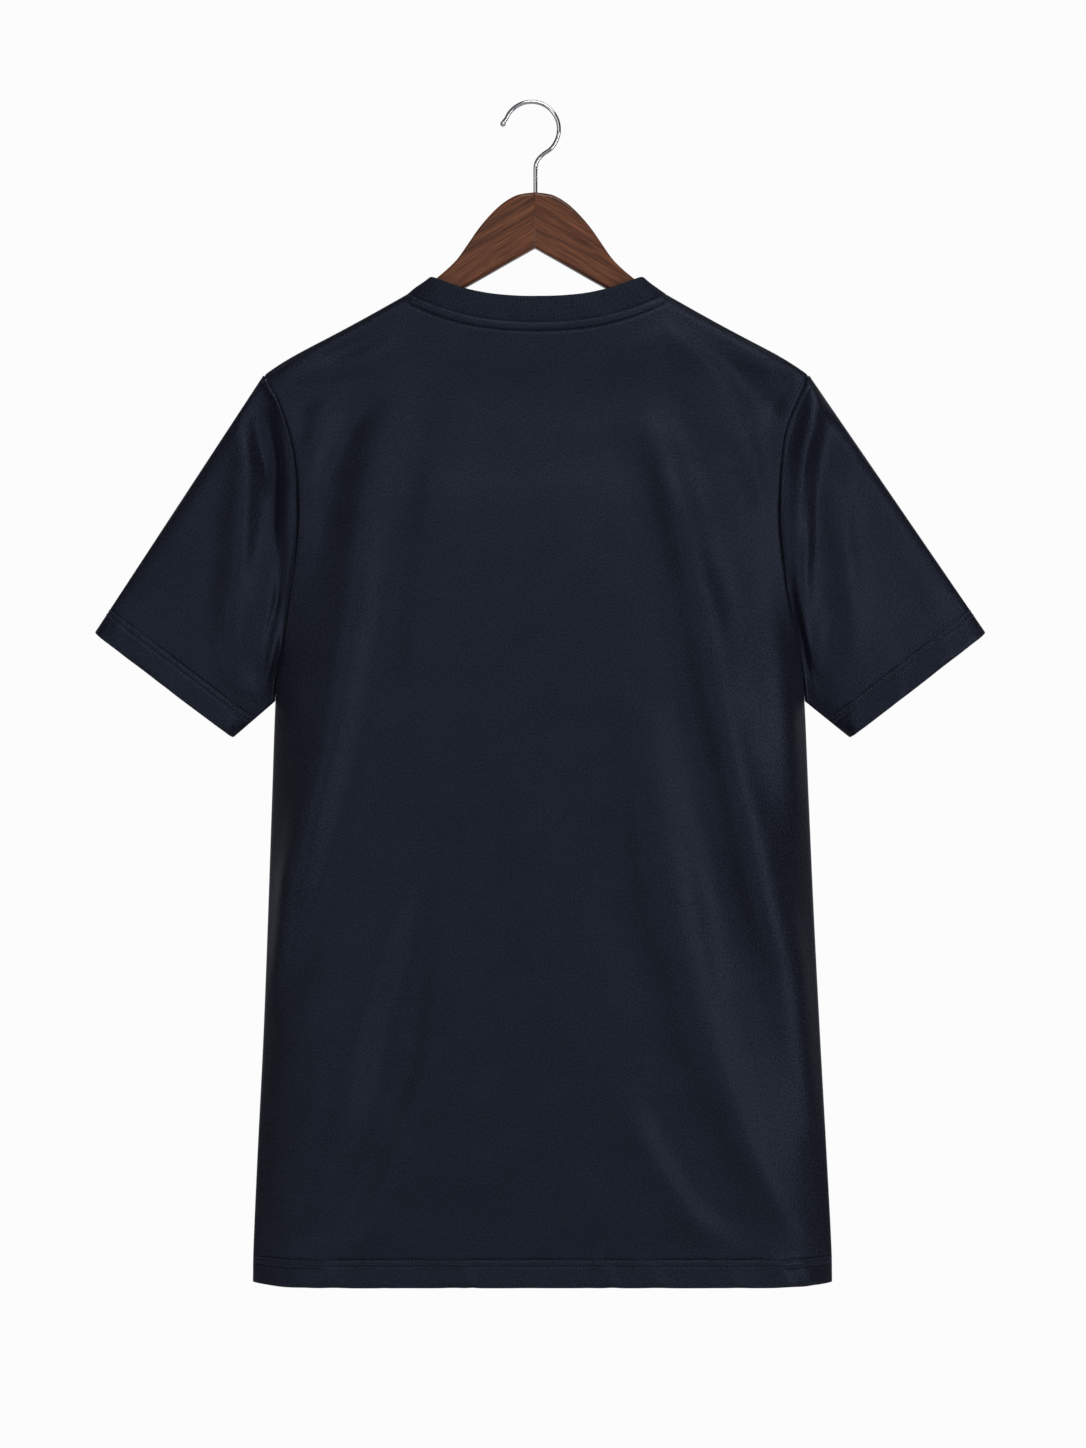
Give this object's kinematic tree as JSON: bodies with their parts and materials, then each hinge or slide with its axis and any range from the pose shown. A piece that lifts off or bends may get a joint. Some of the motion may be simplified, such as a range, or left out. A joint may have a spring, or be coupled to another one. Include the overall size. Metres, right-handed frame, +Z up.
{
  "type": "football jersey on a wooden hanger",
  "caption": "Plain dark navy short-sleeved football jersey with a rib neck band, hanging on a walnut hanger with a chrome wire hook.",
  "frame": {"origin": "the point inside the top of the hook where it rests on a rail", "axes": "+Z up, -Y towards the viewer of the jersey's back, +X to the right in that view"},
  "size_m": [0.6938, 0.089, 0.9212],
  "materials": {
    "jersey_knit": "matt fine polyester knit",
    "neck_rib": "matt fine rib knit",
    "hanger_wood": "satin-varnished walnut",
    "hook_chrome": "polished"
  },
  "bodies": {
    "root": {"back_panel": "jersey_knit", "front_panel": "jersey_knit", "sleeve_left": "jersey_knit", "sleeve_right": "jersey_knit", "collar": "neck_rib", "hanger_arm_left": "hanger_wood", "hanger_arm_right": "hanger_wood", "hook": "hook_chrome"}
  },
  "joints": []
}
